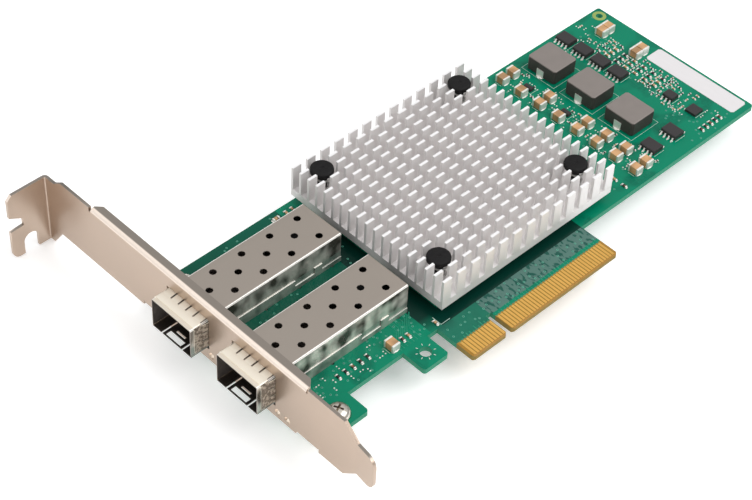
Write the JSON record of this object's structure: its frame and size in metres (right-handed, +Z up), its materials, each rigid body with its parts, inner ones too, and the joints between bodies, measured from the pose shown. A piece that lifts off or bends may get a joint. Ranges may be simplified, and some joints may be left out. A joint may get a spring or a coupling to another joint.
{
  "type": "network interface card",
  "caption": "Add-in network card with transceiver cages, a full-height bracket, a finned heat sink and an edge tongue",
  "frame": {"origin": "middle of the key notch, on the bottom edge of the edge tongue and in the component face of the board", "axes": "+X along the card, away from the bracket; +Y from the tongue to the top edge; +Z up from the component face"},
  "size_m": [0.1794, 0.12, 0.0236],
  "materials": {
    "black_epoxy": "black moulded epoxy, matte",
    "black_nylon": "black nylon, matte",
    "cage_steel": "satin nickel-plated thin steel",
    "ceramic_tan": "tan fired ceramic",
    "chip_substrate": "dark green chip substrate",
    "collar_steel": "bright nickel-plated spring steel",
    "connector_plastic": "black moulded connector plastic",
    "gold_plate": "hard gold plating, satin",
    "inductor_powder": "grey-brown pressed iron powder, satin",
    "label_paper": "white satin label, blank",
    "lamp_resin": "clear milky resin",
    "lid_nickel": "nickel-plated copper lid",
    "nickel_steel": "satin nickel-plated sheet steel",
    "screw_steel": "nickel-plated steel, bright",
    "sink_aluminium": "bare aluminium, fine machining marks",
    "small_part_body": "brown and dark ceramic",
    "solder_mask": "glossy green solder mask over copper on a glass-fibre board",
    "spring_steel": "drawn spring wire",
    "thermal_pad": "grey soft thermal pad",
    "tin_plate": "tin plating with solder"
  },
  "bodies": {
    "root": {"board_label": "label_paper", "bracket": "nickel_steel", "bracket_screws": "screw_steel", "cage_cover_1": "cage_steel", "cage_cover_2": "cage_steel", "cage_pan_1": "cage_steel", "cage_pan_2": "cage_steel", "capacitor_ends": "tin_plate", "ceramic_capacitors": "ceramic_tan", "circuit_board": "solder_mask", "controller_chip_lid": "lid_nickel", "controller_chip_substrate": "chip_substrate", "diodes": "black_epoxy", "edge_contacts": "gold_plate", "flat_chip": "black_epoxy", "heat_sink": "sink_aluminium", "host_connector_1": "connector_plastic", "host_connector_2": "connector_plastic", "indicator_lamps": "lamp_resin", "inductor_terminals": "tin_plate", "logic_chip_leads": "tin_plate", "logic_chips": "black_epoxy", "power_inductor_1": "inductor_powder", "power_inductor_2": "inductor_powder", "power_inductor_3": "inductor_powder", "push_pin_springs": "spring_steel", "push_pins": "black_nylon", "small_chip_parts": "small_part_body", "spring_collar_1": "collar_steel", "spring_collar_2": "collar_steel", "thermal_pad": "thermal_pad", "transistor_leads": "tin_plate", "transistors": "black_epoxy"}
  },
  "joints": []
}
